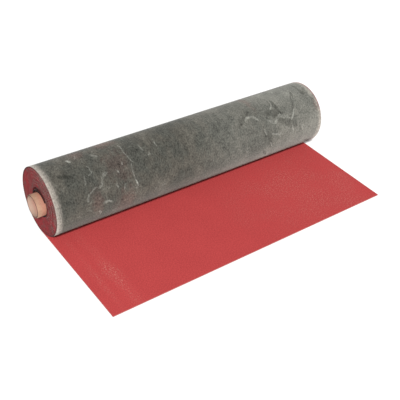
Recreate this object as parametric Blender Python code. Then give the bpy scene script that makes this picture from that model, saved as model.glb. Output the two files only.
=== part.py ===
"""A part-used roll of roofing felt lying on the floor, with its loose end laid out flat in front of it.

Frame: X runs along the roll's axis, -Y is the way the loose end points, +Z is up, and the floor is z = 0.
The sheet goes from the loose end under the roll, up its back, over its top and round again, turn on turn,
down to the bore. The cardboard tube that it was wound on lies in the bottom of the bore.
"""

import math

import bmesh
import bpy

# The felt sheet
SHEET_WIDTH = 1.000
SHEET_THICKNESS = 0.0031
LOOSE_LENGTH = 0.400  # of the flat end, in front of the line where the roll touches the floor

# The winding
ROLL_RADIUS = 0.107
TURNS = 20.5  # a half turn over, so the sheet's inner end is at the top of the bore
STEPS_PER_TURN = 32
STEPS = int(TURNS * STEPS_PER_TURN)
TURN_GROOVE = 0.0010  # how deep the line between two turns lies in the end of the roll
INNER_TURNS_SLIP = 0.004  # how far the innermost turn has slipped towards +X

# The cardboard tube
TUBE_RADIUS = 0.035
TUBE_WALL = 0.0045
TUBE_STANDS_OUT = 0.022  # past each end of the roll's outer turn
TUBE_LENGTH = SHEET_WIDTH + 2 * TUBE_STANDS_OUT
REST_GAP = 0.0003

# Places: the origin is the middle of the whole object's footprint
ROLL_BACK = ROLL_RADIUS - SHEET_THICKNESS / 4
AXIS_Y = (LOOSE_LENGTH - ROLL_BACK) / 2
AXIS_Z = ROLL_RADIUS


def face_radius(step):
    """The radius of the sheet's outward face, counted in steps from where it leaves the floor."""
    return ROLL_RADIUS - SHEET_THICKNESS * step / STEPS_PER_TURN


BORE_RADIUS = face_radius(STEPS + STEPS_PER_TURN)  # at its least, by the sheet's inner end
TUBE_AXIS_Z = AXIS_Z - face_radius(STEPS + STEPS_PER_TURN // 2) + TUBE_RADIUS + REST_GAP


def around_axis(x, step, radius):
    """A point at this radius, turned from the bottom of the roll up its back."""
    angle = 2 * math.pi * step / STEPS_PER_TURN
    return (x, AXIS_Y + radius * math.sin(angle), AXIS_Z - radius * math.cos(angle))


def edge_x(side, radius, depth=0.0):
    """Where the sheet's side edge is at this radius. The turns inside the first one have slipped a little."""
    first_turn = ROLL_RADIUS - SHEET_THICKNESS
    slipped = max(0.0, (first_turn - radius) / (first_turn - BORE_RADIUS))
    return side * (SHEET_WIDTH / 2 - depth) + INNER_TURNS_SLIP * slipped


def end_points(mesh, side):
    """The vertices of one end: the spiral line between turns, the spiral down their middle, the loose end."""
    lines = []
    for step in range(STEPS + STEPS_PER_TURN + 1):
        radius = face_radius(step)
        between_turns = STEPS_PER_TURN < step < STEPS
        x = edge_x(side, radius, TURN_GROOVE if between_turns else 0.0)
        lines.append(mesh.verts.new(around_axis(x, step, radius)))
    middles = []
    for step in range(STEPS + 1):
        radius = face_radius(step) - SHEET_THICKNESS / 2
        middles.append(mesh.verts.new(around_axis(edge_x(side, radius), step, radius)))
    x = edge_x(side, ROLL_RADIUS)
    loose = [mesh.verts.new((x, AXIS_Y - LOOSE_LENGTH, z)) for z in (0.0, SHEET_THICKNESS)]
    return lines, middles, loose


def end_faces(mesh, lines, middles, loose):
    """The end of the winding, each turn with its two sloping halves, and the side edge of the loose end."""
    for step in range(STEPS):
        inner = step + STEPS_PER_TURN
        mesh.faces.new((lines[step], lines[step + 1], middles[step + 1], middles[step]))
        mesh.faces.new((middles[step], middles[step + 1], lines[inner + 1], lines[inner]))
    mesh.faces.new((loose[0], lines[0], middles[0], lines[STEPS_PER_TURN], loose[1]))


def finish_object(name, mesh, color, roughness):
    """Turns the mesh into a named object with a plain material of its own."""
    bmesh.ops.recalc_face_normals(mesh, faces=mesh.faces)
    data = bpy.data.meshes.new(name)
    mesh.to_mesh(data)
    mesh.free()
    material = bpy.data.materials.new(name)
    material.use_nodes = True
    shader = material.node_tree.nodes["Principled BSDF"]
    shader.inputs["Base Color"].default_value = (*color, 1.0)
    shader.inputs["Roughness"].default_value = roughness
    shader.inputs["Metallic"].default_value = 0.0
    data.materials.append(material)
    made = bpy.data.objects.new(name, data)
    bpy.context.scene.collection.objects.link(made)
    return made


def felt_roll():
    """The whole sheet, wound turn on turn, as one solid with its bore and its flat loose end."""
    mesh = bmesh.new()
    ends = []
    for side in (-1, 1):
        lines, middles, loose = end_points(mesh, side)
        end_faces(mesh, lines, middles, loose)
        outside = [loose[0], *lines[: STEPS_PER_TURN + 1], loose[1]]
        bore = [*lines[STEPS:], middles[STEPS]]
        ends.append((outside, bore))
    for left_loop, right_loop in zip(*ends):
        for i in range(len(left_loop)):
            mesh.faces.new((left_loop[i - 1], left_loop[i], right_loop[i], right_loop[i - 1]))
    return finish_object("felt_roll", mesh, color=(0.33, 0.035, 0.037), roughness=0.85)


def core_tube():
    """The cardboard tube, spun from its wall's section."""
    mesh = bmesh.new()
    end = TUBE_LENGTH / 2
    inner = TUBE_RADIUS - TUBE_WALL
    corners = ((-end, inner), (end, inner), (end, TUBE_RADIUS), (-end, TUBE_RADIUS))
    wall = [mesh.verts.new((x, AXIS_Y, TUBE_AXIS_Z - radius)) for x, radius in corners]
    section = [mesh.edges.new((wall[i - 1], wall[i])) for i in range(len(wall))]
    bmesh.ops.spin(
        mesh,
        geom=wall + section,
        cent=(0.0, AXIS_Y, TUBE_AXIS_Z),
        axis=(1.0, 0.0, 0.0),
        angle=2 * math.pi,
        steps=STEPS_PER_TURN,
        use_merge=True,
    )
    tube = finish_object("core_tube", mesh, color=(0.60, 0.36, 0.25), roughness=0.8)
    tube.data.shade_smooth()
    tube.data.set_sharp_from_angle(angle=math.radians(30))
    return tube


for leftover in list(bpy.data.objects):
    bpy.data.objects.remove(leftover, do_unlink=True)
felt_roll()
core_tube()
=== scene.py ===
# A part-used roll of red roofing felt, lying on the floor with its loose end laid out flat in front of it.
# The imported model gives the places: X runs along the roll, -Y is the way the loose end points, +Z is up.
# Sizes are in metres, and angles round the roll are counted from the bottom up the back.
import math

import bmesh
import bpy
from mathutils import Matrix, Vector


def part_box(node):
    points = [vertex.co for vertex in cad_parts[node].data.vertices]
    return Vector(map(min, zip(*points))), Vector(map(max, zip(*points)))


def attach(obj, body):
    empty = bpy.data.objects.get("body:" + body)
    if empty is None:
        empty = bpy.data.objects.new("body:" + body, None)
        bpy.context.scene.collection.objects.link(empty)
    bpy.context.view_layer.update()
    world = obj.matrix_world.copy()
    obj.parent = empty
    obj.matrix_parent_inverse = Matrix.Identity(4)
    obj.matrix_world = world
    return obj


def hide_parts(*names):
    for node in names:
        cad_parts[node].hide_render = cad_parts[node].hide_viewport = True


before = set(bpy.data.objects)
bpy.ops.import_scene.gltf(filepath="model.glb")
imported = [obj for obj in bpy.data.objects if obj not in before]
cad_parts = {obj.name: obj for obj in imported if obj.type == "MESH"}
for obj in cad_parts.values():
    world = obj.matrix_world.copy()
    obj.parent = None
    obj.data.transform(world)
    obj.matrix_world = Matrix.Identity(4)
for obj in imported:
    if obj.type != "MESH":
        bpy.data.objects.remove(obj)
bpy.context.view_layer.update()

# ---------------------------------------------------------------- The cardboard tube
# The tube that the felt was wound on: strips of brown board glued up at a slant and sawn off square.
# It is loose, lies in the bottom of the roll's bore, and stands out a little at the ends.

TUBE_WALL = 0.0045
TUBE_ROUNDING = 0.0004  # of the sawn corners
TUBE_STEPS = 96
STRIP_WIDTH = 0.085  # of the outer strip of board, measured along the tube from seam to seam
SEAM_WIDTH = 0.0015
FIBRE = 0.003  # real fibres are under 1 mm, too fine to show, so they are drawn this coarse
BOARD_PATCH = 0.03  # from one paler patch of board to the next
PALE_DEPTH = 0.001  # how far into the wall the bore's paler colour reaches
DUST_AND_REFLECTION_STARTS = 0.008  # from either end of the tube
STANDS_OUT = 0.022  # out of the felt, and there the dust and the painted reflection are thickest
BOARD_HEX = "#ad8c74"
BOARD_DARK_HEX = "#906b57"
BOARD_SEAM_HEX = "#7d5644"
BOARD_INSIDE_HEX = "#a88d7e"
BOARD_DUST_AND_REFLECTION_HEX = "#9c5a4a"
SAWN_HEX = "#4e2f26"

tube_low, tube_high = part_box("core_tube")
tube_middle = (tube_low + tube_high) / 2
tube_radius = (tube_high.z - tube_low.z) / 2


def linear(hex_colour):
    """The linear colour of an sRGB hex value, with full alpha."""
    channels = [int(hex_colour[i : i + 2], 16) / 255 for i in (1, 3, 5)]
    curve = [c / 12.92 if c <= 0.04045 else ((c + 0.055) / 1.055) ** 2.4 for c in channels]
    return (*curve, 1.0)


def add_node(tree, kind, inputs=(), out=0, **settings):
    """Adds a node with its settings and inputs: each a value or another node's output, in order or by name.

    Gives back the one of its outputs that is asked for, and from that its node can be had too."""
    node = tree.nodes.new(kind)
    for name, value in settings.items():
        setattr(node, name, value)
    given = inputs if isinstance(inputs, dict) else dict(enumerate(inputs))
    for key, value in given.items():
        if isinstance(value, bpy.types.NodeSocket):
            tree.links.new(value, node.inputs[key])
        else:
            node.inputs[key].default_value = value
    return node.outputs[out] if node.outputs else None


def new_material(name):
    """An empty material. Returns it with its node tree."""
    material = bpy.data.materials.new(name)
    material.use_nodes = True
    material.node_tree.nodes.clear()
    return material, material.node_tree


def finish_material(tree, colour, roughness, height, bump_depth, **shader_values):
    """The surface itself: colour, roughness and a bump as deep as its height says, in metres."""
    bump = add_node(tree, "ShaderNodeBump", {"Height": height, "Distance": bump_depth, "Strength": 1.0})
    given = {"Base Color": colour, "Roughness": roughness, "Normal": bump}
    given.update({name.replace("_", " "): value for name, value in shader_values.items()})
    surface = add_node(tree, "ShaderNodeBsdfPrincipled", given)
    add_node(tree, "ShaderNodeOutputMaterial", {"Surface": surface})


def cardboard_material():
    """Wound kraft board: smooth and dull, faintly fibrous, with its strip's slant seam and dark sawn ends."""
    material, tree = new_material("wound kraft board")
    place = add_node(tree, "ShaderNodeUVMap", uv_map="UVMap")
    along = add_node(tree, "ShaderNodeSeparateXYZ", (place,))
    round_it = along.node.outputs[1]
    fibres = add_node(
        tree,
        "ShaderNodeTexNoise",
        {"Vector": place, "Scale": 1 / FIBRE, "Detail": 3.0, "Distortion": 0.4},
        noise_dimensions="2D",
    )
    cloud = add_node(
        tree,
        "ShaderNodeTexNoise",
        {"Vector": place, "Scale": 1 / BOARD_PATCH, "Detail": 2.0},
        noise_dimensions="2D",
    )
    turns = add_node(tree, "ShaderNodeMath", (round_it, 2 * math.pi * tube_radius), operation="DIVIDE")
    strips = add_node(tree, "ShaderNodeMath", (along, 1 / STRIP_WIDTH, turns), operation="MULTIPLY_ADD")
    strips = add_node(tree, "ShaderNodeMath", (strips,), operation="FRACT")
    seam = add_node(
        tree,
        "ShaderNodeMapRange",
        (strips, 0.0, SEAM_WIDTH / STRIP_WIDTH, 0.4, 0.0),
        interpolation_type="SMOOTHSTEP",
    )
    tone = add_node(tree, "ShaderNodeMath", (fibres, 0.6, cloud), operation="MULTIPLY_ADD")
    tone = add_node(tree, "ShaderNodeMapRange", (tone, 0.55, 1.05))
    colour = add_node(
        tree,
        "ShaderNodeMix",
        {0: tone, 6: linear(BOARD_DARK_HEX), 7: linear(BOARD_HEX)},
        out=2,
        data_type="RGBA",
    )
    colour = add_node(
        tree, "ShaderNodeMix", {0: seam, 6: colour, 7: linear(BOARD_SEAM_HEX)}, out=2, data_type="RGBA"
    )

    # Paler in the bore
    space = add_node(tree, "ShaderNodeTexCoord", out="Object")
    flat = add_node(tree, "ShaderNodeVectorMath", (space, (0.0, 1.0, 1.0)), operation="MULTIPLY")
    axis = (0.0, tube_middle.y, tube_middle.z)
    radius = add_node(tree, "ShaderNodeVectorMath", (flat, axis), out="Value", operation="DISTANCE")
    bore = tube_radius - TUBE_WALL
    inside = add_node(tree, "ShaderNodeMapRange", (radius, bore + PALE_DEPTH, bore, 0.0, 0.8))
    colour = add_node(
        tree, "ShaderNodeMix", {0: inside, 6: colour, 7: linear(BOARD_INSIDE_HEX)}, out=2, data_type="RGBA"
    )

    # Next to the felt, red dust and a painted red reflection and shade of the felt; and dark sawn ends: all
    # that lies within a rounding of either end
    end = add_node(tree, "ShaderNodeSeparateXYZ", (space,))
    end = add_node(tree, "ShaderNodeMath", (end,), operation="ABSOLUTE")
    # Redder and darker towards the felt: red dust, and painted reflection and shade of the felt
    dust = add_node(
        tree, "ShaderNodeMapRange", (end, tube_high.x - DUST_AND_REFLECTION_STARTS, tube_high.x - STANDS_OUT, 0.0, 0.6)
    )
    colour = add_node(
        tree, "ShaderNodeMix", {0: dust, 6: colour, 7: linear(BOARD_DUST_AND_REFLECTION_HEX)}, out=2, data_type="RGBA"
    )
    sawn = add_node(tree, "ShaderNodeMapRange", (end, tube_high.x - TUBE_ROUNDING, tube_high.x, 0.0, 0.85))
    colour = add_node(
        tree, "ShaderNodeMix", {0: sawn, 6: colour, 7: linear(SAWN_HEX)}, out=2, data_type="RGBA"
    )
    height = add_node(tree, "ShaderNodeMath", (fibres, seam), operation="SUBTRACT")
    roughness = add_node(tree, "ShaderNodeMapRange", (fibres, 0.0, 1.0, 0.62, 0.85))
    finish_material(tree, colour, roughness, height, bump_depth=0.0003, Specular_IOR_Level=0.35)
    return material


def tube_section():
    """The wall's outline, closed, as (place along the tube, radius): two faces and two sawn ends."""
    inner = tube_radius - TUBE_WALL
    corners = (
        (tube_low.x, tube_radius, 1, -1),
        (tube_high.x, tube_radius, -1, -1),
        (tube_high.x, inner, -1, 1),
        (tube_low.x, inner, 1, 1),
    )
    outline = []
    for number, (x, radius, into_x, into_radius) in enumerate(corners):
        by_x = (x + into_x * TUBE_ROUNDING, radius)
        by_radius = (x, radius + into_radius * TUBE_ROUNDING)
        outline += (by_radius, by_x) if number % 2 == 0 else (by_x, by_radius)
    return outline


def core_tube():
    """The section turned round the tube's axis, with a UV map in metres: along the tube, and round it."""
    mesh = bmesh.new()
    section = tube_section()
    rings = []
    for step in range(TUBE_STEPS):
        angle = 2 * math.pi * step / TUBE_STEPS
        across, up = math.sin(angle), -math.cos(angle)
        ring = [(x, tube_middle.y + r * across, tube_middle.z + r * up) for x, r in section]
        rings.append([mesh.verts.new(point) for point in ring])
    uv_map = mesh.loops.layers.uv.new("UVMap")
    for step in range(TUBE_STEPS):
        here, there = rings[step], rings[(step + 1) % TUBE_STEPS]
        for i in range(len(section)):
            face = mesh.faces.new((here[i - 1], here[i], there[i], there[i - 1]))
            for loop, turn in zip(face.loops, (step, step, step + 1, step + 1)):
                round_it = 2 * math.pi * tube_radius * turn / TUBE_STEPS
                depth = math.hypot(loop.vert.co.y - tube_middle.y, loop.vert.co.z - tube_middle.z)
                loop[uv_map].uv = (loop.vert.co.x + tube_radius - depth, round_it)
    bmesh.ops.recalc_face_normals(mesh, faces=mesh.faces)
    data = bpy.data.meshes.new("cardboard_tube")
    mesh.to_mesh(data)
    mesh.free()
    data.materials.append(cardboard_material())
    data.shade_smooth()
    data.set_sharp_from_angle(angle=math.radians(60))
    tube = bpy.data.objects.new("cardboard_tube", data)
    bpy.context.scene.collection.objects.link(tube)
    return tube


tube = core_tube()
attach(tube, "root")
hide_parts("core_tube")

# ---------------------------------------------------------------- The felt
# One strip of roofing felt: a grey fleece back, a bitumen core and a red weather face of fine mineral grit.
# It is wound with the red face inwards; its outer end lies flat, and its inner end is doubled over the tube.

THICKNESS = 0.0030
PITCH = 0.0031  # from turn to turn: the sheet and the air that wound felt keeps between turns
WHOLE_TURNS = 20
LEAVES_BORE = math.radians(100)  # in the turn after those, where the sheet's inner end leaves the bore's wall
REACHES_TUBE = math.radians(165)
DOUBLES_BACK = math.radians(232)
INNER_EDGE = math.radians(130)
FOLD_RADIUS = 0.0018  # of the middle of the sheet where it doubles back
TUBE_GAP = 0.0005
LOOSE_STEPS = 30
OUTER_STEPS = 144  # of the turn that shows
INNER_STEPS = 48  # of each turn inside it
BORE_STEPS = 14  # of the last stretch along the bore's wall
CROSSING_STEPS = 12  # from there to the tube
LYING_STEPS = 10  # of the layer that lies on the tube
FOLD_STEPS = 8
DOUBLED_STEPS = 14  # of the layer that is doubled over it
COLUMNS = 26

felt_low, felt_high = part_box("felt_roll")
sheet_width = -2 * felt_low.x
roll_radius = (felt_high.z + PITCH / 2) / 2
axis_y = felt_high.y - roll_radius + PITCH / 4
axis_z = roll_radius
loose_length = axis_y - felt_low.y


def around(y, z, radius, angle):
    """The point at this radius round (y, z), turned from the bottom up the back."""
    return Vector((0.0, y + radius * math.sin(angle), z - radius * math.cos(angle)))


def in_winding(angle):
    """The middle of the sheet's thickness, wound on from where it leaves the floor."""
    return around(axis_y, axis_z, roll_radius - THICKNESS / 2 - PITCH * angle / (2 * math.pi), angle)


def on_tube(angle, layer=0):
    """The middle of the sheet's thickness where it lies on the tube, in its first or second layer."""
    radius = tube_radius + TUBE_GAP + THICKNESS / 2 + 2 * FOLD_RADIUS * layer
    return around(tube_middle.y, tube_middle.z, radius, angle)


def between(start, end, count):
    """Count values from start up to, and without, the end."""
    return [start + (end - start) * i / count for i in range(count)]


def sheet_line():
    """The sheet seen from its side, from the loose end's edge to the inner edge, as one line."""
    floor = THICKNESS / 2
    line = [Vector((0.0, y, floor)) for y in between(felt_low.y, axis_y, LOOSE_STEPS)]
    turn = 2 * math.pi
    line += [in_winding(a) for a in between(0.0, turn, OUTER_STEPS)]
    line += [in_winding(a) for a in between(turn, WHOLE_TURNS * turn, (WHOLE_TURNS - 1) * INNER_STEPS)]
    line += [in_winding(WHOLE_TURNS * turn + a) for a in between(0.0, LEAVES_BORE, BORE_STEPS)]
    for angle in between(LEAVES_BORE, REACHES_TUBE, CROSSING_STEPS):
        share = (angle - LEAVES_BORE) / (REACHES_TUBE - LEAVES_BORE)
        share = share * share * (3 - 2 * share)
        line.append(in_winding(WHOLE_TURNS * turn + angle).lerp(on_tube(angle), share))
    line += [on_tube(a) for a in between(REACHES_TUBE, DOUBLES_BACK, LYING_STEPS)]
    fold = on_tube(DOUBLES_BACK, 0.5)
    half_turn = between(DOUBLES_BACK + math.pi, DOUBLES_BACK + turn, FOLD_STEPS)
    line += [around(fold.y, fold.z, FOLD_RADIUS, a) for a in half_turn]
    line += [on_tube(a, 1) for a in between(DOUBLES_BACK, INNER_EDGE, DOUBLED_STEPS)]
    return line


def felt_line_object():
    """The line as a curve object, which the winding tree turns into the sheet."""
    points = sheet_line()
    curve = bpy.data.curves.new("felt_line", "CURVE")
    curve.dimensions = "3D"
    spline = curve.splines.new("POLY")
    spline.points.add(len(points) - 1)
    for point, place in zip(spline.points, points):
        point.co = (*place, 1.0)
    made = bpy.data.objects.new("felt_line", curve)
    bpy.context.scene.collection.objects.link(made)
    return made


FIRST_SLIP = 0.0008  # how far the second turn has slipped towards +X
SLIP_STARTS = math.radians(240)  # where in the first turn that slip begins
SLIP_ENDS = math.radians(400)
INNER_SLIP = 0.0002  # how much further the innermost turn has slipped
SLIP_WANDER = 0.0012  # how far any turn may stray from that
STRAYS_PER_METRE = 4.0
END_SLIP = 0.001  # and how much further the inner end has been pushed in
END_LENGTH = 0.30
WAVE_DEPTH = 0.0006
WAVES_PER_METRE = 7.0
WAVES_START = 0.06  # from the roll's axis
WAVES_FULL = 0.10
EDGE_BULGE = 0.0003  # at mid thickness
WINDING_SEED = 4.0


def line_length(points):
    """The length of a line through these points."""
    return sum((there - here).length for here, there in zip(points, points[1:]))


def to_angle(angle):
    """How far along the sheet a place is that lies this far round the roll."""
    return loose_length + (roll_radius - THICKNESS / 2) * angle - PITCH * angle * angle / (4 * math.pi)


sheet_length = line_length(sheet_line())


def winding_tree():
    """Sweeps the sheet's section along its line, slips the turns sideways, and gives it its slight waves."""
    tree = bpy.data.node_groups.new("felt_winding", "GeometryNodeTree")
    sockets = {}
    wanted = (
        ("Line", "Geometry", None),
        ("Width", "Float", sheet_width),
        ("Thickness", "Float", THICKNESS),
        ("Columns", "Int", COLUMNS),
        ("Edge Bulge", "Float", EDGE_BULGE),
        ("Axis", "Vector", (0.0, axis_y, axis_z)),
        ("Outer Radius", "Float", roll_radius - THICKNESS),
        ("Bore Radius", "Float", roll_radius - PITCH * (WHOLE_TURNS + 1)),
        ("Loose Length", "Float", loose_length),
        ("Slip From", "Float", to_angle(SLIP_STARTS)),
        ("Slip To", "Float", to_angle(SLIP_ENDS)),
        ("First Slip", "Float", FIRST_SLIP),
        ("Inner Slip", "Float", INNER_SLIP),
        ("Slip Wander", "Float", SLIP_WANDER),
        ("Strays Per Metre", "Float", STRAYS_PER_METRE),
        ("End From", "Float", sheet_length - END_LENGTH),
        ("End To", "Float", sheet_length),
        ("End Slip", "Float", END_SLIP),
        ("Wave Depth", "Float", WAVE_DEPTH),
        ("Waves Per Metre", "Float", WAVES_PER_METRE),
        ("Waves Start", "Float", WAVES_START),
        ("Waves Full", "Float", WAVES_FULL),
        ("Seed", "Float", WINDING_SEED),
        ("Weather Face", "Material", None),
        ("Back", "Material", None),
        ("Cut Edge", "Material", None),
    )
    for name, kind, value in wanted:
        socket = tree.interface.new_socket(name=name, in_out="INPUT", socket_type="NodeSocket" + kind)
        if value is not None:
            socket.default_value = value
        sockets[name] = socket.identifier
    tree.interface.new_socket(name="Sheet", in_out="OUTPUT", socket_type="NodeSocketGeometry")
    given = add_node(tree, "NodeGroupInput").node.outputs

    # The section: the border of a thin grid. Its corners are those points of an outer row that are at a side
    # too, and they are pulled in a little, so that the side edges bulge at mid thickness.
    grid_sizes = {
        "Size X": given["Width"],
        "Size Y": given["Thickness"],
        "Vertices X": given["Columns"],
        "Vertices Y": 3,
    }
    grid = add_node(tree, "GeometryNodeMeshGrid", grid_sizes)
    faces_beside = add_node(tree, "GeometryNodeInputMeshEdgeNeighbors")
    is_border = add_node(
        tree, "FunctionNodeCompare", {2: faces_beside, 3: 1}, data_type="INT", operation="EQUAL"
    )
    section = add_node(tree, "GeometryNodeMeshToCurve", {"Mesh": grid, "Selection": is_border})
    across = add_node(tree, "ShaderNodeSeparateXYZ", (add_node(tree, "GeometryNodeInputPosition"),))
    through = across.node.outputs[1]
    through = add_node(tree, "ShaderNodeMath", (through, given["Thickness"]), operation="DIVIDE")
    through = add_node(tree, "ShaderNodeMath", (0.5, through), operation="SUBTRACT")
    from_middle = add_node(tree, "ShaderNodeMath", (through, 0.5), operation="SUBTRACT")
    from_middle = add_node(tree, "ShaderNodeMath", (from_middle,), operation="ABSOLUTE")
    is_face = add_node(tree, "ShaderNodeMath", (from_middle, 0.25), operation="GREATER_THAN")
    to_side = add_node(tree, "ShaderNodeMath", (across, given["Width"]), operation="DIVIDE")
    side = add_node(tree, "ShaderNodeMath", (to_side,), operation="SIGN")
    to_side = add_node(tree, "ShaderNodeMath", (to_side,), operation="ABSOLUTE")
    is_side = add_node(tree, "ShaderNodeMath", (to_side, 0.4999), operation="GREATER_THAN")
    pull = add_node(tree, "ShaderNodeMath", (is_face, is_side), operation="MULTIPLY")
    pull = add_node(tree, "ShaderNodeMath", (pull, side), operation="MULTIPLY")
    pull = add_node(tree, "ShaderNodeMath", (pull, given["Edge Bulge"]), operation="MULTIPLY")
    pull = add_node(tree, "ShaderNodeVectorMath", {0: (-1.0, 0.0, 0.0), 3: pull}, operation="SCALE")
    kept_section = add_node(tree, "GeometryNodeCaptureAttribute", {0: section}).node
    kept_section.capture_items.new("FLOAT", "Through")
    kept_section.capture_items.new("FLOAT", "Across")
    tree.links.new(through, kept_section.inputs["Through"])
    tree.links.new(across, kept_section.inputs["Across"])
    through = kept_section.outputs["Through"]
    across = kept_section.outputs["Across"]
    section = add_node(tree, "GeometryNodeSetPosition", {"Geometry": kept_section.outputs[0], "Offset": pull})

    # The sweep, which keeps how far along, across and through the sheet each point is.
    kept_line = add_node(tree, "GeometryNodeCaptureAttribute", {0: given["Line"]}).node
    kept_line.capture_items.new("FLOAT", "Along")
    tree.links.new(add_node(tree, "GeometryNodeSplineParameter", out="Length"), kept_line.inputs["Along"])
    along = kept_line.outputs["Along"]
    sweep = add_node(
        tree,
        "GeometryNodeCurveToMesh",
        {"Curve": kept_line.outputs[0], "Profile Curve": section, "Fill Caps": True},
    )

    # The turns inside the first one have slipped, each a little differently, and the inner end most of all.
    place = add_node(tree, "GeometryNodeInputPosition")
    level = add_node(tree, "ShaderNodeVectorMath", (place, (0.0, 1.0, 1.0)), operation="MULTIPLY")
    to_axis = add_node(tree, "ShaderNodeVectorMath", (given["Axis"], level), operation="SUBTRACT")
    radius = add_node(tree, "ShaderNodeVectorMath", (to_axis,), out="Value", operation="LENGTH")
    in_roll = add_node(tree, "ShaderNodeMath", (along, given["Loose Length"]), operation="GREATER_THAN")
    inner = add_node(
        tree,
        "ShaderNodeMapRange",
        (radius, given["Outer Radius"], given["Bore Radius"], 0.0, given["Inner Slip"]),
    )
    first = add_node(
        tree,
        "ShaderNodeMapRange",
        (along, given["Slip From"], given["Slip To"], 0.0, 1.0),
        interpolation_type="SMOOTHSTEP",
    )
    end = add_node(
        tree,
        "ShaderNodeMapRange",
        (along, given["End From"], given["End To"], 0.0, given["End Slip"]),
        interpolation_type="SMOOTHSTEP",
    )
    seeded = add_node(tree, "ShaderNodeMath", (along, given["Seed"]), operation="ADD")
    stray = add_node(
        tree,
        "ShaderNodeTexNoise",
        {"W": seeded, "Scale": given["Strays Per Metre"], "Detail": 1.0},
        noise_dimensions="1D",
    )
    stray = add_node(tree, "ShaderNodeMath", (stray, 0.5), operation="SUBTRACT")
    stray = add_node(
        tree, "ShaderNodeMath", (stray, given["Slip Wander"], given["First Slip"]), operation="MULTIPLY_ADD"
    )
    slip = add_node(tree, "ShaderNodeMath", (stray, first, inner), operation="MULTIPLY_ADD")
    slip = add_node(tree, "ShaderNodeMath", (slip, end), operation="ADD")
    slip = add_node(tree, "ShaderNodeMath", (slip, in_roll), operation="MULTIPLY")
    slip = add_node(tree, "ShaderNodeCombineXYZ", (slip,))

    # Slight waves, always towards the red side, the same through all turns at one place.
    wave = add_node(
        tree,
        "ShaderNodeTexNoise",
        {"Vector": place, "W": given["Seed"], "Scale": given["Waves Per Metre"], "Detail": 1.0},
        noise_dimensions="4D",
    )
    depth = add_node(
        tree,
        "ShaderNodeMapRange",
        (radius, given["Waves Start"], given["Waves Full"], 0.0, given["Wave Depth"]),
    )
    depth = add_node(tree, "ShaderNodeMath", (depth, wave), operation="MULTIPLY")
    inwards = add_node(tree, "ShaderNodeVectorMath", (to_axis,), operation="NORMALIZE")
    upwards = (0.0, 0.0, 1.0)
    way = add_node(tree, "ShaderNodeMix", {0: in_roll, 4: upwards, 5: inwards}, out=1, data_type="VECTOR")
    waves = add_node(tree, "ShaderNodeVectorMath", {0: way, 3: depth}, operation="SCALE")
    shift = add_node(tree, "ShaderNodeVectorMath", (slip, waves), operation="ADD")
    sheet = add_node(tree, "GeometryNodeSetPosition", {"Geometry": sweep, "Offset": shift})

    # What the materials read: a UV map in metres, across and along the sheet, and the place in its thickness.
    flat_place = add_node(tree, "ShaderNodeCombineXYZ", (across, along))
    sheet = add_node(
        tree,
        "GeometryNodeStoreNamedAttribute",
        {"Geometry": sheet, "Name": "UVMap", "Value": flat_place},
        data_type="FLOAT2",
        domain="CORNER",
    )
    sheet = add_node(
        tree,
        "GeometryNodeStoreNamedAttribute",
        {"Geometry": sheet, "Name": "through", "Value": through},
        data_type="FLOAT",
        domain="POINT",
    )
    sheet = add_node(tree, "GeometryNodeSetShadeSmooth", {"Geometry": sheet})

    # All is cut edge, but for the faces that lie right at one side of the thickness or the other.
    sheet = add_node(tree, "GeometryNodeSetMaterial", {"Geometry": sheet, "Material": given["Cut Edge"]})
    for name, test, limit in (("Weather Face", "GREATER_THAN", 0.9), ("Back", "LESS_THAN", 0.1)):
        chosen = add_node(tree, "ShaderNodeMath", (through, limit), operation=test)
        sheet = add_node(
            tree, "GeometryNodeSetMaterial", {"Geometry": sheet, "Selection": chosen, "Material": given[name]}
        )
    sheet = add_node(tree, "GeometryNodeRealizeInstances", (sheet,))
    add_node(tree, "NodeGroupOutput", (sheet,))
    return tree, sockets


def on_roll(x, degrees):
    """The place on the flat sheet of a point of the outer turn: x along the roll, degrees round it."""
    return (x, to_angle(math.radians(degrees)), 0.0)


PATCH_FULL = 0.2  # of a patch's half sizes, inside which it is at full strength
PATCH_GONE = 1.4


def soft_patch(tree, place, middle, size, wobble, strength):
    """A soft-edged oval patch on the flat sheet, which a pattern makes less regular."""
    away = add_node(tree, "ShaderNodeVectorMath", (place, middle), operation="SUBTRACT")
    away = add_node(
        tree, "ShaderNodeVectorMath", (away, (1 / size[0], 1 / size[1], 0.0)), operation="MULTIPLY"
    )
    reach = add_node(tree, "ShaderNodeVectorMath", (away,), out="Value", operation="LENGTH")
    reach = add_node(tree, "ShaderNodeMath", (reach, wobble), operation="ADD")
    return add_node(
        tree,
        "ShaderNodeMapRange",
        (reach, PATCH_GONE, PATCH_FULL, 0.0, strength),
        interpolation_type="SMOOTHSTEP",
    )


def stroke(tree, place, start, end, width, strength):
    """A thin pointed line on the flat sheet: all the places that are no detour from its start to its end."""
    length = (end - start).length
    to_start = add_node(tree, "ShaderNodeVectorMath", (place, start), out="Value", operation="DISTANCE")
    to_end = add_node(tree, "ShaderNodeVectorMath", (place, end), out="Value", operation="DISTANCE")
    way = add_node(tree, "ShaderNodeMath", (to_start, to_end), operation="ADD")
    longest = math.hypot(length, 2 * width)
    return add_node(
        tree, "ShaderNodeMapRange", (way, longest, length, 0.0, strength), interpolation_type="SMOOTHSTEP"
    )


def strokes(tree, place, rows):
    """Bent lines on the outer turn, each given as width, strength and the places it runs through."""
    most = 0.0
    for width, strength, *points in rows:
        places = [on_roll(*point) for point in points]
        for start, end in zip(places, places[1:]):
            past = width * (Vector(end) - Vector(start)).normalized()
            line = stroke(tree, place, Vector(start) - past, Vector(end) + past, width, strength)
            most = add_node(tree, "ShaderNodeMath", (most, line), operation="MAXIMUM")
    return most


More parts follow.
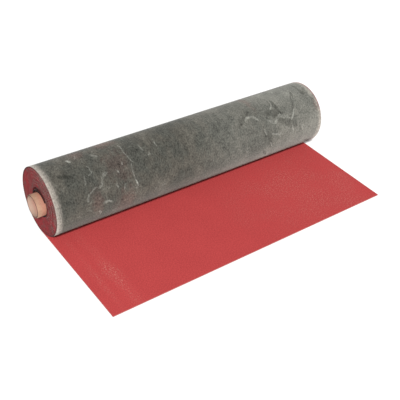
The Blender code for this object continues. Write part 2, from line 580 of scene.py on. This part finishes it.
def threads(tree, place, size, width):
    """Thin wandering lines all over the sheet: where an even noise passes through its middle value."""
    field = add_node(
        tree,
        "ShaderNodeTexNoise",
        {"Vector": place, "Scale": 1 / size, "Detail": 3.0, "Roughness": 0.6, "Distortion": 0.6},
        noise_dimensions="2D",
    )
    field = add_node(tree, "ShaderNodeMath", (field, 0.5), operation="SUBTRACT")
    field = add_node(tree, "ShaderNodeMath", (field,), operation="ABSOLUTE")
    return add_node(tree, "ShaderNodeMapRange", (field, width, 0.0), interpolation_type="SMOOTHSTEP")


GRIT = 0.0035  # real grit is about 0.5 mm, too fine to show, so it is drawn this coarse
SPECKLE = 0.0045  # from one speck of pale dust to the next, coarse for the same reason
RED_CLOUDS_PER_METRE = 11.0
RED_HEX = "#c84b4a"
RED_DEEP_HEX = "#a03334"
DUST_HEX = "#d08c80"
PAINTED_FALLOFF = -0.12  # the tone falls by this much from side to side: a painted fall-off of the light
SMEAR_AND_SHADE_HEX = "#2a1010"
SMEAR_AND_SHADE_STARTS = 0.55  # from the inner edge: both faces are dark there, with bitumen smear and painted shade of the bore's gap
SMEAR_AND_SHADE_FULL = 0.30
SHADE_RIM_STARTS = 0.4955  # from the middle of the sheet: the wound part's side edges are darkened too, as painted shade where they show between the turns
SHADE_RIM_FULL = 0.4985
# Where pale dust has rubbed on to the laid-out end: middle and half sizes, across and along the sheet, strength
DUSTINGS = (
    ((-0.419, 0.09, 0.0), (0.034, 0.36), 0.70),
    ((-0.4625, 0.14, 0.0), (0.018, 0.28), 0.40),
    ((0.30, 0.14, 0.0), (0.36, 0.36), 0.50),
    ((0.44, 0.06, 0.0), (0.10, 0.20), 0.20),
)


def weather_face_material():
    """Red mineral grit pressed into bitumen: dull, even, finely grainy, with a little pale dust rubbed on and a
    painted fall-off of light from side to side.
    """
    material, tree = new_material("red mineral grit weather face")
    place = add_node(tree, "ShaderNodeUVMap", uv_map="UVMap")
    across = add_node(tree, "ShaderNodeSeparateXYZ", (place,))
    along = across.node.outputs[1]
    grit = add_node(
        tree,
        "ShaderNodeTexNoise",
        {"Vector": place, "Scale": 1 / GRIT, "Detail": 2.0, "Roughness": 0.7},
        noise_dimensions="2D",
    )
    cloud = add_node(
        tree, "ShaderNodeTexNoise", {"Vector": place, "Scale": RED_CLOUDS_PER_METRE}, noise_dimensions="2D"
    )
    tone = add_node(tree, "ShaderNodeMath", (cloud, 0.12, grit), operation="MULTIPLY_ADD")
    # Painted fall-off of light: the tone falls towards +X
    tone = add_node(tree, "ShaderNodeMath", (across, PAINTED_FALLOFF, tone), operation="MULTIPLY_ADD")
    tone = add_node(tree, "ShaderNodeMapRange", (tone, 0.26, 0.88))
    colour = add_node(
        tree, "ShaderNodeMix", {0: tone, 6: linear(RED_DEEP_HEX), 7: linear(RED_HEX)}, out=2, data_type="RGBA"
    )
    speckle = add_node(
        tree,
        "ShaderNodeTexNoise",
        {"Vector": place, "Scale": 1 / SPECKLE, "Detail": 2.0, "Roughness": 0.8},
        noise_dimensions="2D",
    )
    speckle = add_node(
        tree, "ShaderNodeMapRange", (speckle, 0.50, 0.68), interpolation_type="SMOOTHSTEP"
    )
    dust = 0.0
    for middle, size, strength in DUSTINGS:
        patch = soft_patch(tree, place, middle, size, cloud, strength)
        dust = add_node(tree, "ShaderNodeMath", (dust, patch), operation="ADD")
    dust = add_node(tree, "ShaderNodeMath", (dust, speckle), operation="MULTIPLY")
    colour = add_node(
        tree, "ShaderNodeMix", {0: dust, 6: colour, 7: linear(DUST_HEX)}, out=2, data_type="RGBA"
    )

    # Dark at the inner end, with bitumen smear and painted shade of the bore's gap, and darker along the wound
    # part's side edges with painted shade between the turns
    smear = add_node(
        tree, "ShaderNodeMapRange", (along, sheet_length - SMEAR_AND_SHADE_STARTS, sheet_length - SMEAR_AND_SHADE_FULL, 0.0, 0.9)
    )
    # Painted shade along the wound part's side edges, where they show between the turns
    rim_shade = add_node(tree, "ShaderNodeMath", (across,), operation="ABSOLUTE")
    rim_shade = add_node(tree, "ShaderNodeMapRange", (rim_shade, SHADE_RIM_STARTS, SHADE_RIM_FULL, 0.0, 0.75))
    wound = add_node(tree, "ShaderNodeMath", (along, loose_length), operation="GREATER_THAN")
    rim_shade = add_node(tree, "ShaderNodeMath", (rim_shade, wound), operation="MULTIPLY")
    smear = add_node(tree, "ShaderNodeMath", (smear, rim_shade), operation="MAXIMUM")
    colour = add_node(
        tree, "ShaderNodeMix", {0: smear, 6: colour, 7: linear(SMEAR_AND_SHADE_HEX)}, out=2, data_type="RGBA"
    )
    roughness = add_node(tree, "ShaderNodeMapRange", (grit, 0.0, 1.0, 0.75, 0.95))
    finish_material(tree, colour, roughness, grit, bump_depth=0.0006, Specular_IOR_Level=0.3)
    return material


# The mottle's three sizes. Real fibres are too fine to show, so even the first is far coarser than they are
WOOL = 0.0040
TUFT = 0.014
CLOUD = 0.060
SHADES = (1.9, 1.0, 0.8)  # how much each of them lightens and darkens the fleece
PALE_CALM = 0.4  # and how much less they do so where it is pale
COMBED = 0.65  # the width of a tuft for its length, as the fibres were laid along the sheet
BREAK = 0.022  # from one break in a crease to the next
SWAY = 0.012  # between the two furthest places that a point of a crease, a painted wrinkle shade or a thread may stray to
SWAYS_PER_METRE = 35.0
WOBBLE = 1.8  # how ragged the outline of a patch is, in its half sizes
TALC_CLOUD = 0.3  # how unevenly talc lies
THREAD_LOOP = 0.030  # about the size of a thread's bends
THREAD_WIDTH = 0.018  # as a share of the noise that the threads come from
RAGGED = 0.016  # the width that the inner border of the pale side edges wanders over
FLEECE_HEX = "#494943"
FLEECE_WARM_HEX = "#4a4740"
FLEECE_SHADE_HEX = "#272722"
TALC_AND_SHEEN_HEX = "#7a7a73"
RUBBED_HEX = "#92928a"
BLEED_HEX = "#664640"
SELVEDGE_HEX = "#9d968d"
STAIN_HEX = "#7c2d2e"
# Where creases in the back have rubbed pale: width, strength, and the places that each runs through, given as
# (x along the roll, degrees round it)
CREASES = (
    (0.0060, 0.68, (-0.407, 178), (-0.405, 181)),
    (0.0048, 0.34, (-0.385, 178), (-0.378, 173)),
    (0.0030, 0.34, (-0.242, 180), (-0.240, 186), (-0.245, 193), (-0.243, 202)),
    (0.0030, 0.42, (-0.243, 202), (-0.237, 209), (-0.233, 217)),
    (0.0030, 0.34, (-0.238, 222), (-0.242, 229), (-0.242, 243)),
    (0.0036, 0.68, (-0.241, 247), (-0.237, 256)),
    (0.0030, 0.42, (-0.188, 191), (-0.187, 198), (-0.185, 206)),
    (0.0030, 0.34, (-0.137, 191), (-0.138, 205)),
    (0.0036, 0.42, (-0.365, 202), (-0.363, 212), (-0.373, 215)),
    (0.0030, 0.34, (-0.388, 214), (-0.390, 225), (-0.394, 228)),
    (0.0036, 0.42, (-0.400, 254), (-0.397, 249), (-0.390, 243), (-0.380, 239), (-0.367, 237)),
    (0.0054, 0.26, (-0.357, 238), (-0.347, 236), (-0.342, 229), (-0.333, 222), (-0.323, 221)),
    (0.0045, 0.60, (-0.352, 265), (-0.333, 265), (-0.327, 267)),
    (0.0048, 0.34, (-0.275, 248), (-0.280, 254)),
    (0.0036, 0.34, (-0.303, 243), (-0.300, 248)),
    (0.0048, 0.42, (-0.363, 281), (-0.362, 285)),
    (0.0036, 0.34, (-0.290, 222), (-0.287, 228)),
    (0.0036, 0.34, (-0.265, 213), (-0.267, 216)),
    (0.0030, 0.34, (-0.172, 212), (-0.175, 215), (-0.167, 216)),
    (0.0084, 0.26, (-0.333, 184), (-0.327, 187)),
    (0.0050, 0.42, (0.192, 212), (0.200, 209), (0.220, 210), (0.230, 213), (0.237, 218)),
    (0.0070, 0.38, (0.277, 227), (0.290, 232), (0.302, 233), (0.308, 228), (0.325, 223)),
    (0.0070, 0.40, (0.325, 223), (0.337, 227), (0.350, 230), (0.358, 232)),
    (0.0040, 0.50, (0.370, 237), (0.380, 231), (0.388, 223)),
    (0.0054, 0.40, (0.252, 240), (0.255, 247)),
    (0.0036, 0.51, (0.305, 207), (0.315, 201), (0.318, 194)),
    (0.0036, 0.34, (0.400, 204), (0.408, 201), (0.413, 197)),
    (0.0036, 0.42, (0.368, 250), (0.372, 261)),
    (0.0036, 0.42, (0.410, 256), (0.417, 265)),
    (0.0054, 0.34, (0.283, 252), (0.308, 256)),
    (0.0042, 0.34, (0.273, 268), (0.280, 274)),
    (0.0054, 0.42, (0.362, 163), (0.367, 171)),
)
# Where painted shade darkens it in folds and wrinkles, given in the same way
WRINKLE_SHADES = (
    (0.0085, 0.70, (0.323, 195), (0.327, 209), (0.333, 216)),
    (0.0049, 0.68, (0.313, 189), (0.310, 202)),
    (0.0080, 0.54, (0.384, 222), (0.395, 210), (0.408, 200), (0.418, 190)),
    (0.0180, 0.54, (0.298, 216), (0.320, 220)),
    (0.0150, 0.47, (0.168, 216), (0.187, 206), (0.207, 202)),
    (0.0200, 0.27, (0.213, 200), (0.243, 204)),
    (0.0075, 0.46, (0.460, 168), (0.458, 184), (0.462, 196), (0.472, 198)),
    (0.0080, 0.46, (0.482, 187), (0.462, 195)),
    (0.0200, 0.41, (0.255, 250), (0.270, 266)),
    (0.0200, 0.41, (0.335, 236), (0.370, 246)),
    (0.0098, 0.68, (0.452, 299), (0.473, 308)),
    (0.0084, 0.68, (0.250, 283), (0.263, 293)),
    (0.0112, 0.68, (-0.450, 204), (-0.430, 208)),
)
# Where red from the grit has bled on to it: middle, half sizes across and along the sheet, strength
BLEEDS = (
    ((-0.275, 280), (0.035, 0.050), 0.30),
    ((-0.370, 262), (0.020, 0.040), 0.28),
    ((-0.275, 158), (0.035, 0.030), 0.35),
    ((-0.370, 165), (0.025, 0.025), 0.25),
    ((-0.280, 215), (0.040, 0.050), 0.22),
    ((0.490, 228), (0.012, 0.020), 0.40),
    ((0.245, 170), (0.012, 0.050), 0.25),
)
# Where painted sheen makes it paler, rising towards one side: from this x to that one, by this share
SHEEN_RISES = ((-0.05, 0.12, 0.33), (0.26, 0.50, 0.26))
# Bands of painted sheen along the top and the bottom of the roll: middle, half sizes across and along the
# sheet, share
SHEEN_BANDS = (
    ((0.38, 172), (0.16, 0.06), 0.26),
    ((0.34, 308), (0.24, 0.06), 0.34),
    ((-0.20, 308), (0.40, 0.05), 0.22),
)
# Where the side edges are rubbed pale: from this x to that one, up to this share
SELVEDGE_FADES = ((-0.475, -0.499, 1.0), (0.478, 0.498, 0.64))
# And where the grit has stained them red: the same, then how many degrees round that starts, and is full
STAIN_FADES = ((-0.4985, -0.5010, 0.5, 330, 310), (0.4964, 0.4986, 0.9, 250, 225))


def back_material():
    """Grey polyester fleece: matt and fuzzy, mottled, dusted with talc, creased pale where it was handled,
    paler with painted sheen, and darker with painted shade in its folds.
    """
    material, tree = new_material("grey polyester fleece back")
    place = add_node(tree, "ShaderNodeUVMap", uv_map="UVMap")
    across = add_node(tree, "ShaderNodeSeparateXYZ", (place,))
    along = across.node.outputs[1]
    mottle = []
    combed = add_node(tree, "ShaderNodeVectorMath", (place, (1.0, COMBED, 0.0)), operation="MULTIPLY")
    for size, detail in ((WOOL, 2.0), (TUFT, 3.0), (CLOUD, 3.0)):
        inputs = {"Vector": combed, "Scale": 1 / size, "Detail": detail, "Roughness": 0.6}
        mottle.append(add_node(tree, "ShaderNodeTexNoise", inputs, noise_dimensions="2D"))
    wool, tuft, cloud = mottle
    sway = add_node(
        tree,
        "ShaderNodeTexNoise",
        {"Vector": place, "Scale": SWAYS_PER_METRE, "Detail": 4.0, "Roughness": 0.65},
        out="Color",
        noise_dimensions="2D",
    )
    sway = add_node(tree, "ShaderNodeVectorMath", (sway, (0.5, 0.5, 0.5)), operation="SUBTRACT")
    sway = add_node(
        tree, "ShaderNodeVectorMath", (sway, (SWAY, SWAY, 0.0), place), operation="MULTIPLY_ADD"
    )

    # The fleece itself, warmer in some places than in others, and paler where talc lies on it and where sheen
    # is painted on
    warm = add_node(tree, "ShaderNodeMapRange", (cloud, 0.4, 0.6))
    colour = add_node(
        tree,
        "ShaderNodeMix",
        {0: warm, 6: linear(FLEECE_HEX), 7: linear(FLEECE_WARM_HEX)},
        out=2,
        data_type="RGBA",
    )
    talc = add_node(tree, "ShaderNodeMath", (cloud, TALC_CLOUD, -TALC_CLOUD / 2), operation="MULTIPLY_ADD")
    # Painted sheen: paler towards +X, and in bands near the top and the bottom of the roll
    for start, end, share in SHEEN_RISES:
        rise = add_node(tree, "ShaderNodeMapRange", (across, start, end, 0.0, share))
        talc = add_node(tree, "ShaderNodeMath", (talc, rise), operation="ADD", use_clamp=True)
    wobble = add_node(tree, "ShaderNodeMath", (tuft, WOBBLE, -WOBBLE / 2), operation="MULTIPLY_ADD")
    for middle, size, share in SHEEN_BANDS:
        patch = soft_patch(tree, place, on_roll(*middle), size, wobble, share)
        talc = add_node(tree, "ShaderNodeMath", (talc, patch), operation="ADD", use_clamp=True)
    colour = add_node(
        tree, "ShaderNodeMix", {0: talc, 6: colour, 7: linear(TALC_AND_SHEEN_HEX)}, out=2, data_type="RGBA"
    )
    for middle, size, strength in BLEEDS:
        bleed = soft_patch(tree, place, on_roll(*middle), size, wobble, strength)
        colour = add_node(
            tree, "ShaderNodeMix", {0: bleed, 6: colour, 7: linear(BLEED_HEX)}, out=2, data_type="RGBA"
        )

    # Painted shade in folds and wrinkles, pale creases and loose threads
    broken = add_node(
        tree,
        "ShaderNodeTexNoise",
        {"Vector": place, "Scale": 1 / BREAK, "Detail": 3.0},
        noise_dimensions="2D",
    )
    broken = add_node(tree, "ShaderNodeMapRange", (broken, 0.35, 0.60, 0.50, 1.1))
    wrinkle_shade = add_node(tree, "ShaderNodeMath", (strokes(tree, sway, WRINKLE_SHADES), broken), operation="MULTIPLY")
    colour = add_node(
        tree, "ShaderNodeMix", {0: wrinkle_shade, 6: colour, 7: linear(FLEECE_SHADE_HEX)}, out=2, data_type="RGBA"
    )
    creases = add_node(tree, "ShaderNodeMath", (strokes(tree, sway, CREASES), broken), operation="MULTIPLY")
    colour = add_node(
        tree, "ShaderNodeMix", {0: creases, 6: colour, 7: linear(RUBBED_HEX)}, out=2, data_type="RGBA"
    )

    # The threads show more towards the roll's ends, where it was handled, than in its middle
    handled = add_node(tree, "ShaderNodeMath", (across,), operation="ABSOLUTE")
    handled = add_node(tree, "ShaderNodeMapRange", (handled, 0.05, 0.25, -0.25, 0.0))
    handled = add_node(tree, "ShaderNodeMath", (handled, cloud), operation="ADD")
    handled = add_node(tree, "ShaderNodeMapRange", (handled, 0.44, 0.60, 0.0, 0.28))
    thread = threads(tree, sway, THREAD_LOOP, THREAD_WIDTH)
    thread = add_node(tree, "ShaderNodeMath", (thread, handled), operation="MULTIPLY")
    colour = add_node(
        tree, "ShaderNodeMix", {0: thread, 6: colour, 7: linear(RUBBED_HEX)}, out=2, data_type="RGBA"
    )

    # The side edges: rubbed pale, and stained red at the very edge
    ragged = add_node(tree, "ShaderNodeMath", (tuft, RAGGED, -RAGGED / 2), operation="MULTIPLY_ADD")
    ragged = add_node(tree, "ShaderNodeMath", (across, ragged), operation="ADD")
    calm = talc
    for start, end, share in SELVEDGE_FADES:
        rubbed = add_node(
            tree, "ShaderNodeMapRange", (ragged, start, end, 0.0, share), interpolation_type="SMOOTHSTEP"
        )
        colour = add_node(
            tree, "ShaderNodeMix", {0: rubbed, 6: colour, 7: linear(SELVEDGE_HEX)}, out=2, data_type="RGBA"
        )
        calm = add_node(tree, "ShaderNodeMath", (calm, rubbed), operation="MAXIMUM")
    for start, end, share, none, full in STAIN_FADES:
        none, full = to_angle(math.radians(none)), to_angle(math.radians(full))
        reach = add_node(tree, "ShaderNodeMapRange", (along, none, full, 0.0, share))
        stain = add_node(tree, "ShaderNodeMapRange", (across, start, end, 0.0, reach))
        colour = add_node(
            tree, "ShaderNodeMix", {0: stain, 6: colour, 7: linear(STAIN_HEX)}, out=2, data_type="RGBA"
        )
    # Darker at the inner end: bitumen smear, and painted shade of the bore's gap
    smear = add_node(
        tree, "ShaderNodeMapRange", (along, sheet_length - SMEAR_AND_SHADE_STARTS, sheet_length - SMEAR_AND_SHADE_FULL)
    )
    colour = add_node(
        tree, "ShaderNodeMix", {0: smear, 6: colour, 7: linear(SMEAR_AND_SHADE_HEX)}, out=2, data_type="RGBA"
    )

    # The mottle, as light and dark in all of those colours, and fainter where they are pale
    shade = 1 - sum(SHADES) / 2
    for pattern, share in zip(mottle, SHADES):
        shade = add_node(tree, "ShaderNodeMath", (pattern, share, shade), operation="MULTIPLY_ADD")
    calm = add_node(tree, "ShaderNodeMath", (calm, PALE_CALM), operation="MULTIPLY")
    shade = add_node(tree, "ShaderNodeMix", {0: calm, 2: shade, 3: 1.0})
    colour = add_node(tree, "ShaderNodeVectorMath", {0: colour, 3: shade}, operation="SCALE")

    height = add_node(tree, "ShaderNodeMath", (tuft, 0.8, wool), operation="MULTIPLY_ADD")
    height = add_node(tree, "ShaderNodeMath", (height, creases), operation="ADD")
    height = add_node(tree, "ShaderNodeMath", (height, wrinkle_shade), operation="SUBTRACT")
    finish_material(
        tree,
        colour,
        roughness=0.9,
        height=height,
        bump_depth=0.0008,
        Diffuse_Roughness=1.0,
        Specular_IOR_Level=0.2,
        Sheen_Weight=0.1,
        Sheen_Roughness=0.5,
    )
    return material


EDGE_CORE_HEX = "#371c1b"
EDGE_RED_HEX = "#831e24"
EDGE_PALE_HEX = "#783636"
EDGE_GREY_HEX = "#574742"
EDGE_INNER_AND_SHADE_HEX = "#1e0f0e"  # of the inner end, black with bitumen and with painted shade of the bore's gap
EDGE_LOOSE_HEX = "#a5605c"  # of the laid-out end, which light dust has settled on
EDGE_SMEARS_PER_METRE = 55.0
EDGE_STREAKS_PER_METRE = 25.0
CRUMB = 0.0025
EDGE_CHANGE = 0.02  # the length over which the edge's look changes from one part of the sheet to the next
BLACK_STARTS = 0.5  # from the inner edge


def cut_edge_material():
    """The slit edge: dark bitumen between the grey fleece and the red coat, smeared with both."""
    material, tree = new_material("slit bitumen edge")
    through = add_node(tree, "ShaderNodeAttribute", attribute_name="through", out="Fac")
    place = add_node(tree, "ShaderNodeUVMap", uv_map="UVMap")
    along = add_node(tree, "ShaderNodeSeparateXYZ", (place,), out=1)
    space = add_node(tree, "ShaderNodeTexCoord", out="Object")
    smear = add_node(
        tree, "ShaderNodeTexNoise", {"Vector": space, "Scale": EDGE_SMEARS_PER_METRE, "Detail": 2.0}
    )
    streak = add_node(
        tree,
        "ShaderNodeTexNoise",
        {"W": along, "Scale": EDGE_STREAKS_PER_METRE, "Detail": 2.0},
        noise_dimensions="1D",
    )
    crumb = add_node(tree, "ShaderNodeTexNoise", {"Vector": space, "Scale": 1 / CRUMB, "Detail": 2.0})
    first_turn = to_angle(2 * math.pi)
    layers = (
        ((through, 0.30, 0.50, 0.0, 1.0), EDGE_RED_HEX),
        ((through, 0.20, 0.05, 0.0, 0.5), EDGE_GREY_HEX),
        ((smear, 0.52, 0.30, 0.0, 0.85), EDGE_RED_HEX),
        ((smear, 0.50, 0.75, 0.0, 0.55), EDGE_GREY_HEX),
        ((streak, 0.58, 0.75, 0.0, 0.5), EDGE_PALE_HEX),
        # The outermost turn's edge darker: painted shade of the line between the outer two turns
        ((along, first_turn + EDGE_CHANGE, first_turn - EDGE_CHANGE, 0.0, 0.7), EDGE_CORE_HEX),
        ((along, loose_length, loose_length - EDGE_CHANGE, 0.0, 0.9), EDGE_LOOSE_HEX),
        # The inner end's edge black: bitumen, and painted shade of the bore's gap
        ((along, sheet_length - BLACK_STARTS, sheet_length - SMEAR_AND_SHADE_FULL), EDGE_INNER_AND_SHADE_HEX),
    )
    colour = linear(EDGE_CORE_HEX)
    for mask, hex_colour in layers:
        mask = add_node(tree, "ShaderNodeMapRange", mask, interpolation_type="SMOOTHSTEP")
        colour = add_node(
            tree, "ShaderNodeMix", {0: mask, 6: colour, 7: linear(hex_colour)}, out=2, data_type="RGBA"
        )
    finish_material(tree, colour, roughness=0.85, height=crumb, bump_depth=0.0003, Specular_IOR_Level=0.25)
    return material


def felt_sheet():
    """The whole strip as one closed mesh, made by the winding tree."""
    line = felt_line_object()
    tree, sockets = winding_tree()
    modifier = line.modifiers.new("winding", "NODES")
    modifier.node_group = tree
    modifier[sockets["Weather Face"]] = weather_face_material()
    modifier[sockets["Back"]] = back_material()
    modifier[sockets["Cut Edge"]] = cut_edge_material()
    graph = bpy.context.evaluated_depsgraph_get()
    data = bpy.data.meshes.new_from_object(line.evaluated_get(graph), depsgraph=graph)
    bpy.data.objects.remove(line)
    data.name = "felt_sheet"
    mesh = bmesh.new()
    mesh.from_mesh(data)
    bmesh.ops.recalc_face_normals(mesh, faces=mesh.faces)
    mesh.to_mesh(data)
    mesh.free()
    data.set_sharp_from_angle(angle=math.radians(40))
    sheet = bpy.data.objects.new("felt_sheet", data)
    bpy.context.scene.collection.objects.link(sheet)
    return sheet


felt = felt_sheet()
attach(felt, "root")
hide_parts("felt_roll")

# ---------------------------------------------------------------- The floor
# A flat studio floor in one coat of matt white paint, wide enough to fill every view. The loose end and the
# lowest line of the roll rest on it.

FLOOR_HALF = 12.0
FLOOR_HEX = "#fbfbfa"
PAINT_GRAINS_PER_METRE = 300.0


def studio_floor():
    """A square of floor, rolled with matt white paint that is even and hardly shines."""
    data = bpy.data.meshes.new("studio_floor")
    corners = [(x * FLOOR_HALF, y * FLOOR_HALF, 0.0) for x, y in ((-1, -1), (1, -1), (1, 1), (-1, 1))]
    data.from_pydata(corners, [], [(0, 1, 2, 3)])
    material, tree = new_material("matt white floor paint")
    space = add_node(tree, "ShaderNodeTexCoord", out="Object")
    paint = add_node(tree, "ShaderNodeTexNoise", {"Vector": space, "Scale": PAINT_GRAINS_PER_METRE})
    finish_material(
        tree, linear(FLOOR_HEX), roughness=0.9, height=paint, bump_depth=0.0001, Specular_IOR_Level=0.2
    )
    data.materials.append(material)
    floor = bpy.data.objects.new("studio_floor", data)
    bpy.context.scene.collection.objects.link(floor)
    return floor


floor = studio_floor()

# ---------------------------------------------------------------- The light
# Plain soft studio light: a white room, a key light from the camera's side and two weaker, broader fills.
# The lights are far off, so they are even over the whole roll.

ROOM_LIGHT = 0.28
ROOM_SEEN = 1.0  # how bright the room itself looks past the floor
LIGHTS = (  # name, degrees round from the front, degrees up, how wide it looks in degrees, strength
    ("key_light", -39, 43, 5, 3.70),
    ("front_fill", -5, 11, 22, 0.88),
    ("back_fill", 160, 14, 40, 0.50),
)


def direction(azimuth, elevation):
    """From the object towards something at these angles, in radians. Azimuth 0 is the front."""
    level = math.cos(elevation)
    return Vector((math.sin(azimuth) * level, -math.cos(azimuth) * level, math.sin(elevation)))


def soft_light(name, azimuth, elevation, width, strength):
    """An even light from far off, soft because it looks this wide."""
    data = bpy.data.lights.new(name, "SUN")
    data.angle = math.radians(width)
    data.energy = strength
    way = direction(math.radians(azimuth), math.radians(elevation))
    lamp = bpy.data.objects.new(name, data)
    lamp.rotation_euler = way.to_track_quat("Z", "Y").to_euler()
    bpy.context.scene.collection.objects.link(lamp)


def studio_room():
    """A plain white room, which lights the object less than it shows."""
    world = bpy.data.worlds.new("white_room")
    world.use_nodes = True
    tree = world.node_tree
    tree.nodes.clear()
    seen = add_node(tree, "ShaderNodeLightPath", out="Is Camera Ray")
    strength = add_node(tree, "ShaderNodeMix", {0: seen, 2: ROOM_LIGHT, 3: ROOM_SEEN})
    room = add_node(tree, "ShaderNodeBackground", {"Color": (1.0, 1.0, 1.0, 1.0), "Strength": strength})
    add_node(tree, "ShaderNodeOutputWorld", {"Surface": room})
    bpy.context.scene.world = world


for row in LIGHTS:
    soft_light(*row)
studio_room()
bpy.context.scene.view_settings.view_transform = "Standard"

# ---------------------------------------------------------------- The camera
# It stands to the left in front of the roll, looks down on it from 1.4 m above the floor, and is tilted a
# little to one side. Its angles are in radians.

CAMERA_AZIMUTH = -0.6888
CAMERA_ELEVATION = 0.6550
CAMERA_ROLL = 0.0895
CAMERA_DISTANCE = 2.2300
CAMERA_TARGET = Vector((-0.0405, -0.0031, 0.0309))
SENSOR = 36.0  # in millimetres, as the lens is
LENS = 65.33


def studio_camera():
    """The camera at its angle and distance from the target, with its own roll about the line of sight."""
    data = bpy.data.cameras.new("camera")
    data.sensor_width = SENSOR
    data.lens = LENS
    back = direction(CAMERA_AZIMUTH, CAMERA_ELEVATION)
    level = (-back).cross(Vector((0, 0, 1))).normalized()
    upright = level.cross(-back)
    right = math.cos(CAMERA_ROLL) * level + math.sin(CAMERA_ROLL) * upright
    up = back.cross(right)
    camera = bpy.data.objects.new("camera", data)
    turned = Matrix((right, up, back)).transposed().to_4x4()
    camera.matrix_world = Matrix.Translation(CAMERA_TARGET + back * CAMERA_DISTANCE) @ turned
    bpy.context.scene.collection.objects.link(camera)
    bpy.context.scene.camera = camera


studio_camera()
